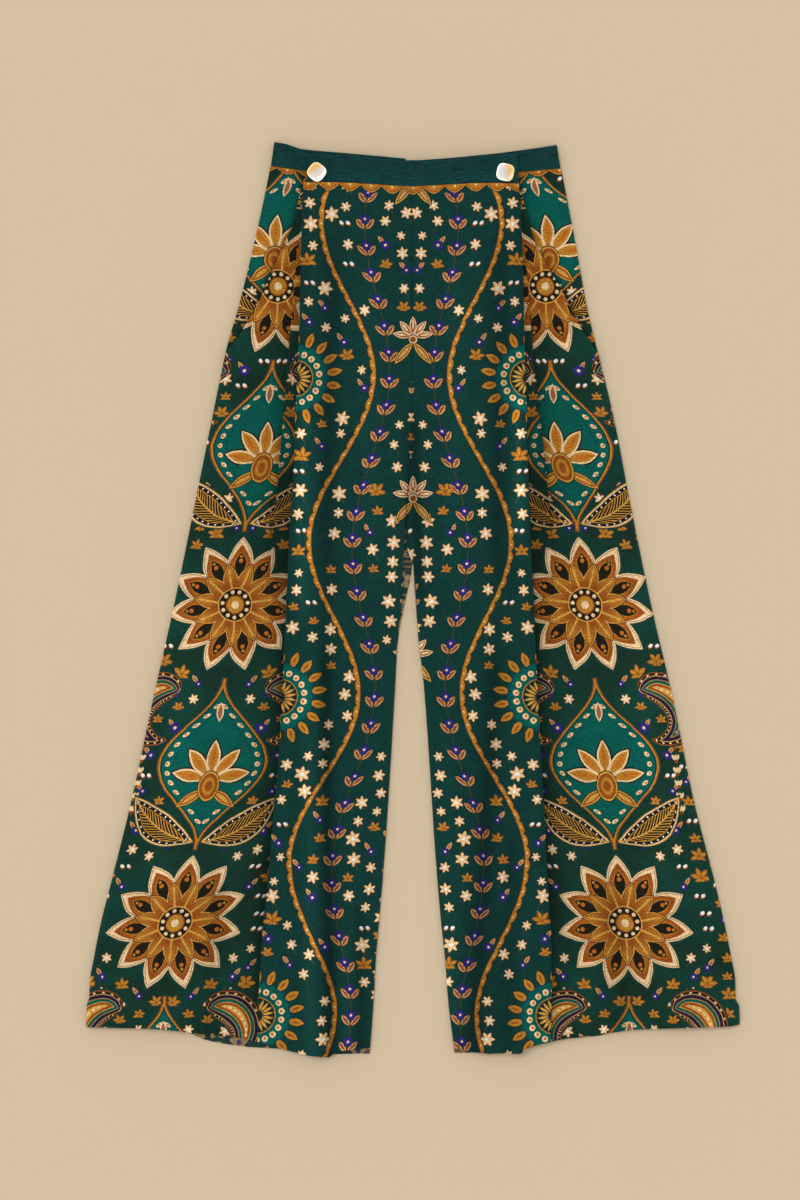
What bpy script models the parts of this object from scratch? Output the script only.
"""Flared trousers, laid flat on their back with the waist towards +Y.

The fronts hang from a buttoned flap. Each front leg is one cut of cloth with a deep knife
pleat under the flap's end and a shallower fold beside it, so its section is a path that
doubles back on itself. The backs lie flat on the ground under them.

Sizes are in millimetres. `down` is the distance below the waist's highest corner and `out`
the distance from the centre line, and put() turns them into metres in the world.
"""

from math import cos, exp, pi, radians, sin

import bmesh
import bpy
from mathutils import Vector

# ---------------------------------------------------------------- driving sizes
MM = 0.001
LENGTH = 1070.0  # highest corner of the waist to the lowest point of the hem
CLOTH = 1.0  # wall of a single layer
BAND = 1.8  # waistband, a folded strip
FLAP_BAND = 2.5  # the flap's band, folded round a stiffener
BAND_FLARE = 0.025  # the waistbands widen downwards by this share
SEAM = 0.3  # gap between neighbouring pieces
TURN = 0.75  # radius of a fold, which sets layers 1.5 mm apart

# Heights of the middle of each wall above the ground
BACK_Z = CLOTH / 2
FACING_Z = 1.9
BAND_Z = 2.9
FRONT_Z = 3.4
FLAP_Z = 5.65
SEAM_EDGE_Z = 1.8  # where a front turns down to meet its back

FULL_FOLD = 3.2  # a pleat deeper than this lies closed; a shallower one opens out
LEAST_FOLD = 0.8  # length left between the two turns as a pleat opens
LEAST_BEND = 0.02  # the bend left in a pleat that has opened, in radians
RAMP = 64.0  # the centre panel comes down from its pleat over this width
RAMP_GAP = 6.0  # the ramp stops this short of the pleat's turns
FLAP_LIFT = 1.8  # the centre panel leaves the flap's band this much higher
FLAP_LIFT_FADE = 45.0
CROTCH_DOWN = 470.0
CROTCH_SPREAD = 70.0
CROTCH_LIFT = {-1: 1.8, 1: 0.0}  # the left leg's inner edge lies over the right one's
INNER_TURN = 3.0  # the inner edge turns down over about this width
OUTER_TURN = 7.0  # and the outer edge over this
SWELL_GAP = 3.0  # soft folds stop this far from a pleat
SWELL_FADE = 14.0  # and fade over this width beside it

LEFT, RIGHT = -1, 1

# ---------------------------------------------------------------- outline tables
SIDE_SEAM = {
    LEFT: ("down out", [
        (0, 162), (27, 166), (68, 174), (126, 187), (197, 205), (238, 217), (325, 235),
        (419, 254), (536, 278), (653, 304), (770, 329), (863, 352), (910, 364), (957, 373.5),
        (980, 377.5), (1003, 378.5), (1008, 381), (1036, 382),
    ]),
    RIGHT: ("down out", [
        (0, 168), (27, 172), (68, 180), (126, 191), (197, 204), (238, 214), (325, 235),
        (419, 253), (536, 277), (653, 304), (770, 328), (863, 352), (910, 363), (957, 372.5),
        (980, 376.5), (1003, 377), (1009, 381), (1036, 382),
    ]),
}

# The fronts' inner edges: the centre seam down to the crotch, then the inseams.
INNER_FRONT = {
    LEFT: ("down out", [
        (0, 1.2), (357, 1.6), (399, 6), (446, 9.2), (500, 12.2), (536, 13), (583, 19),
        (630, 21), (723, 26.5), (817, 32.5), (910, 40), (957, 44), (1004, 46.5), (1067, 51),
    ]),
    RIGHT: ("down out", [
        (0, -0.8), (357, -1.2), (399, -5.6), (446, -8.6), (472, -7), (500, 1.5), (536, 4),
        (583, 7), (630, 12.5), (723, 19.5), (817, 25.5), (910, 33), (957, 38), (1004, 41.5),
        (1065, 49),
    ]),
}
INNER_BACK = {
    LEFT: ("down out", [
        (0, 0.4), (470, 0.4), (500, 1.8), (536, 9), (583, 17.6), (630, 20.5), (723, 26),
        (817, 32), (910, 39.5), (957, 43.5), (1004, 46), (1067, 50.5),
    ]),
    RIGHT: ("down out", [
        (0, 0.1), (470, 0.1), (500, 0.6), (536, 3), (583, 6.4), (630, 12), (723, 19),
        (817, 25), (910, 32.5), (957, 37.5), (1004, 41), (1065, 48.5),
    ]),
}

# The main pleat's edge is the centre panel's edge. The strip is the fold beside it, and
# `base` is how high the main pleat lies above the side panel.
PLEATS = {
    LEFT: ("down edge depth base strip strip_depth", [
        (30, 127, 47, 0, 110, 0),
        (48, 127.5, 47, 0.6, 114, 0),
        (75, 129.2, 43, 2.2, 122, 0.3),
        (100, 129.7, 40, 3.5, 130, 1.4),
        (132, 130.3, 37, 3.8, 135.4, 3.2),
        (160, 131, 34, 3.3, 137.8, 9),
        (240, 133.2, 28, 3.0, 144.5, 14),
        (325, 137, 26, 3.0, 151.5, 14),
        (400, 140, 26, 3.3, 158, 10),
        (455, 143.6, 26, 3.9, 163.5, 3.4),
        (510, 146.3, 26, 3.7, 166.5, 1.6),
        (570, 149, 26, 2.4, 169, 0),
        (605, 150.5, 23, 1.6, 172, 0),
        (700, 155.5, 19, 0.4, 178, 0),
        (800, 164, 14, 0, 187, 0),
        (870, 170, 8, 0, 194, 0),
        (930, 176, 3.4, 0, 200, 0),
        (985, 179, 1.5, 0, 204, 0),
        (1035, 181, 0, 0, 206, 0),
        (1070, 182, 0, 0, 208, 0),
    ]),
    RIGHT: ("down edge depth base strip strip_depth", [
        (30, 123, 47, 0, 106, 0),
        (48, 123.2, 47, 0.6, 110, 0),
        (75, 125.2, 43, 2.2, 118, 0.3),
        (100, 126.4, 40, 3.5, 126, 1.4),
        (132, 127.3, 37, 3.8, 130.6, 3.2),
        (160, 128, 34, 3.3, 133, 9),
        (240, 130, 28, 3.0, 139.5, 14),
        (325, 132.5, 26, 3.0, 148.5, 14),
        (380, 133.8, 26, 3.3, 154.5, 10),
        (425, 135.6, 26, 3.9, 158.5, 3.4),
        (475, 137.6, 26, 3.7, 161, 1.6),
        (530, 140.3, 26, 2.6, 163, 0),
        (605, 143.5, 23, 1.4, 166, 0),
        (700, 148.5, 20, 0.4, 172, 0),
        (800, 154, 17, 0, 178, 0),
        (870, 157.5, 14, 0, 182, 0),
        (930, 161, 12, 0, 186, 0),
        (985, 161.5, 11, 0, 187, 0),
        (1070, 160.5, 10, 0, 187, 0),
    ]),
}

# The slanted mouth of each pocket, from the band to the side seam
POCKET_MOUTH = {
    LEFT: ("down out", [(30, 124), (56, 131), (98, 140.4), (120, 151), (150, 164),
                        (192, 182.5), (212, 194.8), (225, 202.4), (241, 214)]),
    RIGHT: ("down out", [(30, 120), (54, 125.2), (98, 136.9), (120, 142.7), (145, 156.8),
                         (170, 172), (198, 186), (218, 196.6), (245, 214.5)]),
}
POCKET_END = 241.0  # the mouth runs into the side seam here
SEAM_SETTLE = 40.0  # below it, the side seam comes down to the back over this length

# ---------------------------------------------------------------- edges across the body
FRONT_HEM = {
    LEFT: ("out down", [
        (50, 1059), (72, 1061), (88, 1063), (98, 1070), (122, 1068), (151, 1061), (171, 1055),
        (202, 1047), (240, 1044), (263, 1041), (295, 1037), (335, 1036), (381, 1035),
    ]),
    RIGHT: ("out down", [
        (49, 1059), (69, 1064), (87, 1065.5), (126, 1065.5), (132, 1058.5), (163, 1051.5),
        (181, 1048), (200, 1045.5), (233, 1040.5), (256, 1038), (307, 1036), (368, 1034.5),
        (381, 1032),
    ]),
}
BACK_HEM = {
    LEFT: ("out down", [
        (50, 1066), (99, 1067), (131, 1062), (164, 1060), (197, 1058), (230, 1053),
        (246, 1049), (263, 1041), (335, 1035), (381, 1034),
    ]),
    RIGHT: ("out down", [
        (49, 1065), (69, 1065), (126, 1062), (163, 1050), (200, 1047), (219, 1045),
        (233, 1042), (256, 1038), (307, 1035), (381, 1031),
    ]),
}
BAND_TOP = {
    LEFT: ("out down", [
        (-10, 21), (8, 19.5), (73, 13.5), (116, 10), (132, 8), (148, 2.5), (162, 0),
    ]),
    RIGHT: ("out down", [
        (-10, 21.5), (10, 21.2), (44, 18.7), (102, 13), (135, 8.5), (168, 3.5),
    ]),
}
BAND_BOTTOM = {
    LEFT: ("out down", [(-10, 46), (100, 38), (127, 33.7), (167, 27.7)]),
    RIGHT: ("out down", [(-10, 46), (100, 38), (123, 35), (173, 30.8)]),
}
FLAP_TOP = {
    LEFT: ("out down", [(0, 23.5), (10, 22.5), (85, 15.7), (124, 14.5)]),
    RIGHT: ("out down", [(0, 23.5), (10, 23.2), (44, 21), (102, 15.5), (124, 12.8)]),
}
FLAP_BOTTOM = {
    LEFT: ("out down", [(0, 52), (15, 51.5), (85, 47.4), (128, 47.2)]),
    RIGHT: ("out down", [(0, 52), (44, 50), (79, 48), (124, 49)]),
}

FOLD_COLUMNS = "out_start down_start out_end down_end height width"
SOFT_FOLDS = {
    LEFT: (FOLD_COLUMNS, [
        (40, 120, 34, 330, 1.2, 16),
        (116, 420, 114, 640, 2.2, 9),
        (116, 760, 113, 1090, 5.0, 12),
        (62, 840, 74, 1090, 3.2, 14),
        (250, 760, 300, 1080, 2.6, 26),
        (210, 300, 226, 560, 1.6, 20),
    ]),
    RIGHT: (FOLD_COLUMNS, [
        (44, 130, 38, 330, 1.2, 16),
        (104, 440, 100, 660, 1.8, 12),
        (88, 860, 88, 1090, 3.2, 9),
        (118, 800, 126, 1090, 4.2, 11),
        (262, 740, 322, 1080, 2.6, 26),
        (206, 300, 222, 560, 1.6, 20),
    ]),
}

# ---------------------------------------------------------------- mesh stations
FRONT_ROWS = [
    0, 9, 18, 27, 38, 50, 63, 77, 92, 112, 136, 165, 190, 211, 240, 285, 330, 365, 395, 415,
    435, 455, 475, 495, 520, 550, 600, 655, 710, 765, 820, 865, 900, 930, 955, 972, 977, 1006,
]
FRONT_DROP = 1006.0  # the front's own length below its band
FACING_ROWS = [0, 12, 30, 55, 85, 115, 145, 175, 200, 214]
FACING_DROP = 214.0
BACK_ROWS = [0, 60, 140, 230, 330, 440, 478, 510, 550, 610, 700, 790, 870, 930, 972, 977, 1006]
BACK_COLUMNS = 12
BAND_COLUMNS = 8

CENTRE_POINTS = 13  # points across the centre panel
PLEAT_POINTS = 11  # and through the main pleat
FACING_TUCK = 22.0  # the facing runs this far under the pocket mouth
BUTTON_SIZE = 20.3
BUTTON_THICK = 3.4
BUTTON_PLACES = {LEFT: (112.4, 35.9, -39.0), RIGHT: (107.8, 36.2, -12.0)}  # out, down, turn


# ---------------------------------------------------------------- reading the tables
def column(table, name):
    """One named column of a table, as a list."""
    names, rows = table
    index = names.split().index(name)
    return [row[index] for row in rows]


def straight(table, at, key, value):
    """Reads a table along straight lines between its rows."""
    keys, values = column(table, key), column(table, value)
    if at <= keys[0]:
        return values[0]
    for i in range(len(keys) - 1):
        if at <= keys[i + 1]:
            share = (at - keys[i]) / (keys[i + 1] - keys[i])
            return values[i] + share * (values[i + 1] - values[i])
    return values[-1]


def curved(table, at, value):
    """Reads a table along a smooth curve that never overshoots its rows."""
    keys, values = column(table, "down"), column(table, value)
    if at <= keys[0]:
        return values[0]
    if at >= keys[-1]:
        return values[-1]
    i = max(k for k in range(len(keys) - 1) if keys[k] <= at)
    steps = [
        (values[k + 1] - values[k]) / (keys[k + 1] - keys[k]) for k in range(len(keys) - 1)
    ]

    def slope(k):
        if k == 0 or k == len(keys) - 1:
            return steps[min(k, len(steps) - 1)]
        before, after = steps[k - 1], steps[k]
        return 0.0 if before * after <= 0 else 2 * before * after / (before + after)

    width = keys[i + 1] - keys[i]
    t = (at - keys[i]) / width
    return (
        values[i] * (1 + 2 * t) * (1 - t) ** 2
        + values[i + 1] * t * t * (3 - 2 * t)
        + width * (slope(i) * t * (1 - t) ** 2 - slope(i + 1) * t * t * (1 - t))
    )


def ease(x):
    """0 below 0, 1 above 1, and smooth between."""
    x = min(1.0, max(0.0, x))
    return x * x * (3 - 2 * x)


def spread(start, end, count):
    """`count` places from just after start up to end."""
    return [start + (end - start) * (k + 1) / count for k in range(count)]


# ---------------------------------------------------------------- the front's section
def swell(side, out, down, pleat_start, strip_edge):
    """Height that the soft folds add to the top layer. It fades out beside the pleats."""
    room = pleat_start - out if out < strip_edge else out - strip_edge
    clear = ease((room - SWELL_GAP) / SWELL_FADE)
    total = 0.0
    for row in SOFT_FOLDS[side][1]:
        out_start, down_start, out_end, down_end, height, width = row
        along = (down - down_start) / (down_end - down_start)
        if along <= 0 or along >= 1:
            continue
        centre = out_start + along * (out_end - out_start)
        reach = ease(along * 3) if down_end > LENGTH else sin(pi * along)
        total += height * reach * exp(-(((out - centre) / width) ** 2))
    return total * clear


def inner_edge_drop(side, down):
    """How far the inner edge turns down: not at all on the centre seam, fully on the inseam."""
    if side == LEFT:
        return ease((down - 500) / 90)
    return ease((down - 357) / 60)


class Pleat:
    """A knife pleat's two turns, seen in section. It opens flat as its depth runs out.

    Each turn keeps the same length of cloth, so its radius grows as its bend opens.
    """

    def __init__(self, edge, depth, low):
        self.bend = max(LEAST_BEND, pi * ease(depth / FULL_FOLD))
        self.radius = pi * TURN / self.bend
        self.between = LEAST_FOLD + max(0.0, depth - FULL_FOLD)
        self.low = low
        turn_drop = self.radius * (1 - cos(self.bend))
        self.high = low + 2 * turn_drop + self.between * sin(self.bend)
        self.start = edge - self.radius * sin(min(self.bend, pi / 2))
        turn_reach = self.radius * sin(self.bend)
        self.end = self.start + 2 * turn_reach + self.between * cos(self.bend)

    def path(self, arc_steps, flat_steps):
        """Points from the start of the upper turn to the end of the lower one."""
        points = []
        for k in range(arc_steps + 1):
            a = self.bend * k / arc_steps
            drop = self.radius * (1 - cos(a))
            points.append((self.start + self.radius * sin(a), self.high - drop))
        x, z = points[-1]
        for step in spread(0, self.between, flat_steps):
            points.append((x + cos(self.bend) * step, z - sin(self.bend) * step))
        for k in range(1, arc_steps + 1):
            a = self.bend * (1 - k / arc_steps)
            rise = self.radius * (1 - cos(a))
            points.append((self.end - self.radius * sin(a), self.low + rise))
        return points


def outer_edge(side, down):
    """The side panel's outer edge: the slanted pocket mouth, then the side seam."""
    seam = curved(SIDE_SEAM[side], down, "out")
    if down >= POCKET_END:
        return seam
    return min(seam, straight(POCKET_MOUTH[side], down, "down", "out"))


def front_section(side, down):
    """The front's section at one height, as (out, z) from the inner edge to the outer edge."""
    read = lambda name: curved(PLEATS[side], down, name)
    side_z = FRONT_Z
    strip = read("strip")
    strip_fold = Pleat(strip, read("strip_depth"), side_z)
    base = max(side_z + read("base"), strip_fold.high)
    main_fold = Pleat(read("edge"), read("depth"), base)
    inner = curved(INNER_FRONT[side], down, "out")
    outer = outer_edge(side, down)

    ramp_end = min(main_fold.start, main_fold.end) - RAMP_GAP
    ramp_start = ramp_end - RAMP
    lift = FLAP_LIFT * exp(-(((down - 48) / FLAP_LIFT_FADE) ** 2))
    turned = inner_edge_drop(side, down)

    def centre_z(out):
        rise = ease((out - ramp_start) / RAMP)
        z = side_z + lift * (1 - rise) + (main_fold.high - side_z) * rise
        near_edge = exp(-max(0.0, out - inner) / INNER_TURN)
        at_crotch = CROTCH_LIFT[side] * exp(-(((down - CROTCH_DOWN) / CROTCH_SPREAD) ** 2))
        return z + near_edge * (turned * (SEAM_EDGE_Z - side_z) + at_crotch)

    centre = [inner, inner + 1.2, inner + 3, inner + 7]
    centre += spread(inner + 7, ramp_start, 4)
    centre += spread(ramp_start, ramp_end, 4)
    centre += spread(ramp_end, main_fold.start, 2)[:-1]
    on_top = lambda out: swell(side, out, down, main_fold.start, strip)
    points = [(out, centre_z(out) + on_top(out)) for out in centre]
    points += main_fold.path(arc_steps=4, flat_steps=2)
    for share in (1 / 3, 2 / 3):
        out = main_fold.end + share * (strip_fold.start - main_fold.end)
        points.append((out, base + (strip_fold.high - base) * ease(share)))
    points += strip_fold.path(arc_steps=3, flat_steps=1)

    # The free pocket mouth stays on the facing; the side seam turns down to the back.
    edge_z = side_z + (SEAM_EDGE_Z - side_z) * ease((down - POCKET_END) / SEAM_SETTLE)
    reach = min(OUTER_TURN, 0.6 * (outer - strip_fold.end))
    for out in spread(strip_fold.end, outer - reach, 5):
        points.append((out, side_z + on_top(out)))
    for share in (0.45, 0.8, 1.0):
        out = outer - reach * (1 - share)
        settle = on_top(out) * (1 - share**2)
        points.append((out, side_z + (edge_z - side_z) * share**3 + settle))
    return points


def settle_edge(side, index, down, rule):
    """Where a section's point meets an edge that runs across the body as rule(out)."""
    for _ in range(4):
        out = front_section(side, down)[index][0]
        down = rule(out)
    return down


def column_edges(side):
    """For each point of a section: how far down the front starts and ends there."""

    def under_flap(out):
        return straight(FLAP_BOTTOM[side], min(out, 127), "out", "down") + SEAM

    def under_band(out):
        return straight(BAND_BOTTOM[side], out, "out", "down") + SEAM

    def at_hem(out):
        return straight(FRONT_HEM[side], out, "out", "down")

    edges = []
    for index in range(len(front_section(side, 60.0))):
        flap = settle_edge(side, index, 50.0, under_flap)
        band = settle_edge(side, index, 38.0, under_band)
        share = ease((index - CENTRE_POINTS - PLEAT_POINTS) / 3)
        hem = settle_edge(side, index, 1045.0, at_hem)
        edges.append((flap + (band - flap) * share, hem))
    return edges


# ---------------------------------------------------------------- making objects
def put(side, out, down, z):
    """A place in the world, in metres, from the garment's own measures."""
    return Vector((side * out * MM, (LENGTH / 2 - down) * MM, z * MM))


def sheet(name, rows, columns, place, wall, material, soften=0.0):
    """An open grid of cloth moved to place(row, column), given its wall by Solidify."""
    mesh = bpy.data.meshes.new(name)
    grid = bmesh.new()
    bmesh.ops.create_grid(grid, x_segments=columns - 1, y_segments=rows - 1, size=1.0)
    for vertex in grid.verts:
        i = round((vertex.co.x + 1) / 2 * (columns - 1))
        j = round((1 - vertex.co.y) / 2 * (rows - 1))
        vertex.co = place(j, i)
    grid.to_mesh(mesh)
    grid.free()
    mesh.materials.append(material)
    obj = bpy.data.objects.new(name, mesh)
    garment.objects.link(obj)
    shell = obj.modifiers.new("wall", "SOLIDIFY")
    shell.thickness = wall * MM
    shell.offset = 0.0
    shell.use_even_offset = True
    shell.use_rim = True
    if soften:
        rounded = obj.modifiers.new("soft_edges", "BEVEL")
        rounded.width = soften * MM
        rounded.segments = 2
        rounded.limit_method = "ANGLE"
        rounded.angle_limit = radians(50)
    mesh.shade_smooth()
    mesh.set_sharp_from_angle(angle=radians(40))
    return obj


def make_material(name, colour, roughness, metallic=0.0):
    material = bpy.data.materials.new(name)
    material.use_nodes = True
    shader = material.node_tree.nodes["Principled BSDF"]
    shader.inputs["Base Color"].default_value = (*colour, 1.0)
    shader.inputs["Roughness"].default_value = roughness
    shader.inputs["Metallic"].default_value = metallic
    return material


def make_front(side, name, material):
    """One front leg: centre panel, main pleat, strip and side panel in a single cut."""
    edges = column_edges(side)

    def place(j, i):
        top, hem = edges[i]
        down = top + FRONT_ROWS[j] / FRONT_DROP * (hem - top)
        out, z = front_section(side, down)[i]
        return put(side, out, down, z)

    return sheet(name, len(FRONT_ROWS), len(edges), place, CLOTH, material)


def make_facing(side, name, material):
    """The pocket's facing: the cloth seen above the slanted pocket mouth."""
    columns = 9

    def place(j, i):
        share = i / (columns - 1)
        middle_top = straight(BAND_BOTTOM[side], 145, "out", "down") + SEAM
        down = middle_top + FACING_ROWS[j]
        mouth = straight(POCKET_MOUTH[side], down, "down", "out")
        inner = max(curved(PLEATS[side], down, "edge") - 8, mouth - FACING_TUCK)
        outer = curved(SIDE_SEAM[side], down, "out")
        out = inner + (outer - inner) * share
        own_top = straight(BAND_BOTTOM[side], out, "out", "down") + SEAM
        down += (own_top - middle_top) * (1 - FACING_ROWS[j] / FACING_DROP)
        return put(side, out, down, FACING_Z)

    return sheet(name, len(FACING_ROWS), columns, place, CLOTH, material)


def make_back(side, name, material):
    """One back leg, flat on the ground."""

    def place(j, i):
        share = i / (BACK_COLUMNS - 1)
        drop = BACK_ROWS[j] / BACK_ROWS[-1]
        probe = 40 + drop * 1000
        inner = curved(INNER_BACK[side], probe, "out")
        outer = curved(SIDE_SEAM[side], probe, "out")
        out = inner + (outer - inner) * share
        top = straight(BAND_BOTTOM[side], out, "out", "down") + SEAM
        hem = straight(BACK_HEM[side], out, "out", "down")
        down = top + drop * (hem - top)
        inner = curved(INNER_BACK[side], down, "out")
        outer = curved(SIDE_SEAM[side], down, "out")
        return put(side, inner + (outer - inner) * share, down, BACK_Z)

    return sheet(name, len(BACK_ROWS), BACK_COLUMNS, place, CLOTH, material)


def band_strip(name, places, z, wall, material):
    """A band from its own list of (side, top out, top, bottom out, bottom) places."""
    shares = (0.0, 0.5, 1.0)

    def place(j, i):
        side, top_out, top, bottom_out, bottom = places[i]
        out = top_out + (bottom_out - top_out) * shares[j]
        return put(side, out, top + (bottom - top) * shares[j], z)

    return sheet(name, len(shares), len(places), place, wall, material, soften=0.45)


def band_places(side, start, end, top_table, bottom_table, flare=0.0, lower_top=0.0):
    """Places along one half of a band, from out=start to out=end at its top edge."""
    places = []
    for k in range(BAND_COLUMNS + 1):
        out = start + (end - start) * k / BAND_COLUMNS
        low = out * (1 + flare)
        top = straight(top_table[side], out, "out", "down") + lower_top
        places.append((side, out, top, low, straight(bottom_table[side], low, "out", "down")))
    return places


def make_bands(material):
    """The band behind each side of the flap, the back's band, and the flap's own band."""
    left_end = 8.5  # the left band runs just past the centre, and the right one meets it
    edges = (BAND_TOP, BAND_BOTTOM, BAND_FLARE)
    left = band_places(LEFT, 162, left_end, *edges)
    band_strip("waistband_left", left, BAND_Z, BAND, material)
    right = band_places(RIGHT, SEAM - left_end, 168, *edges)
    band_strip("waistband_right", right, BAND_Z, BAND, material)

    hidden = 3.0  # the back's band stays just below the edge of the front's
    back = band_places(LEFT, 162, 0, *edges, hidden)
    back += band_places(RIGHT, 0, 168, *edges, hidden)[1:]
    band_strip("waistband_back", back, BAND / 2, BAND, material)

    flap = band_places(LEFT, 123.5, 0, FLAP_TOP, FLAP_BOTTOM)
    flap += band_places(RIGHT, 0, 123, FLAP_TOP, FLAP_BOTTOM)[1:]
    band_strip("flap_band", flap, FLAP_Z, FLAP_BAND, material)


def make_button(side, name, material):
    """A flat button of a rounded square, slightly hollowed on top by its soft rim."""
    out, down, turn = BUTTON_PLACES[side]
    bpy.ops.mesh.primitive_cube_add(size=1.0)
    obj = bpy.context.active_object
    obj.name = name
    obj.data.name = name
    for vertex in obj.data.vertices:
        taper = 0.93 if vertex.co.z < 0 else 1.0
        size = Vector((BUTTON_SIZE * taper, BUTTON_SIZE * taper, BUTTON_THICK)) * MM
        vertex.co = vertex.co * size
    shape = bmesh.new()
    shape.from_mesh(obj.data)
    upright = [e for e in shape.edges if abs(e.verts[0].co.z - e.verts[1].co.z) > MM]
    bmesh.ops.bevel(
        shape, geom=upright, offset=7.0 * MM, segments=6, affect="EDGES", profile=0.5
    )
    shape.to_mesh(obj.data)
    shape.free()
    rim = obj.modifiers.new("rim", "BEVEL")
    rim.width = 1.1 * MM
    rim.segments = 2
    rim.limit_method = "ANGLE"
    rim.angle_limit = radians(60)
    top_of_band = FLAP_Z + FLAP_BAND / 2
    obj.location = put(side, out, down, top_of_band + SEAM + BUTTON_THICK / 2)
    obj.rotation_euler = (0, 0, radians(turn))
    obj.data.materials.append(material)
    for owner in obj.users_collection:
        owner.objects.unlink(obj)
    garment.objects.link(obj)
    return obj


# ---------------------------------------------------------------- building
for old in list(bpy.data.objects):
    bpy.data.objects.remove(old)
garment = bpy.data.collections.new("flared_trousers")
bpy.context.scene.collection.children.link(garment)

printed_cloth = make_material("printed_cloth", (0.012, 0.105, 0.095), 0.82)
band_cloth = make_material("band_cloth", (0.010, 0.075, 0.078), 0.85)
pearl = make_material("pearl", (0.86, 0.80, 0.68), 0.18)

SIDES = {LEFT: "left", RIGHT: "right"}
for side, word in SIDES.items():
    make_back(side, f"back_{word}", printed_cloth)
    make_facing(side, f"pocket_facing_{word}", printed_cloth)
    make_front(side, f"front_{word}", printed_cloth)
    make_button(side, f"button_{word}", pearl)
make_bands(band_cloth)
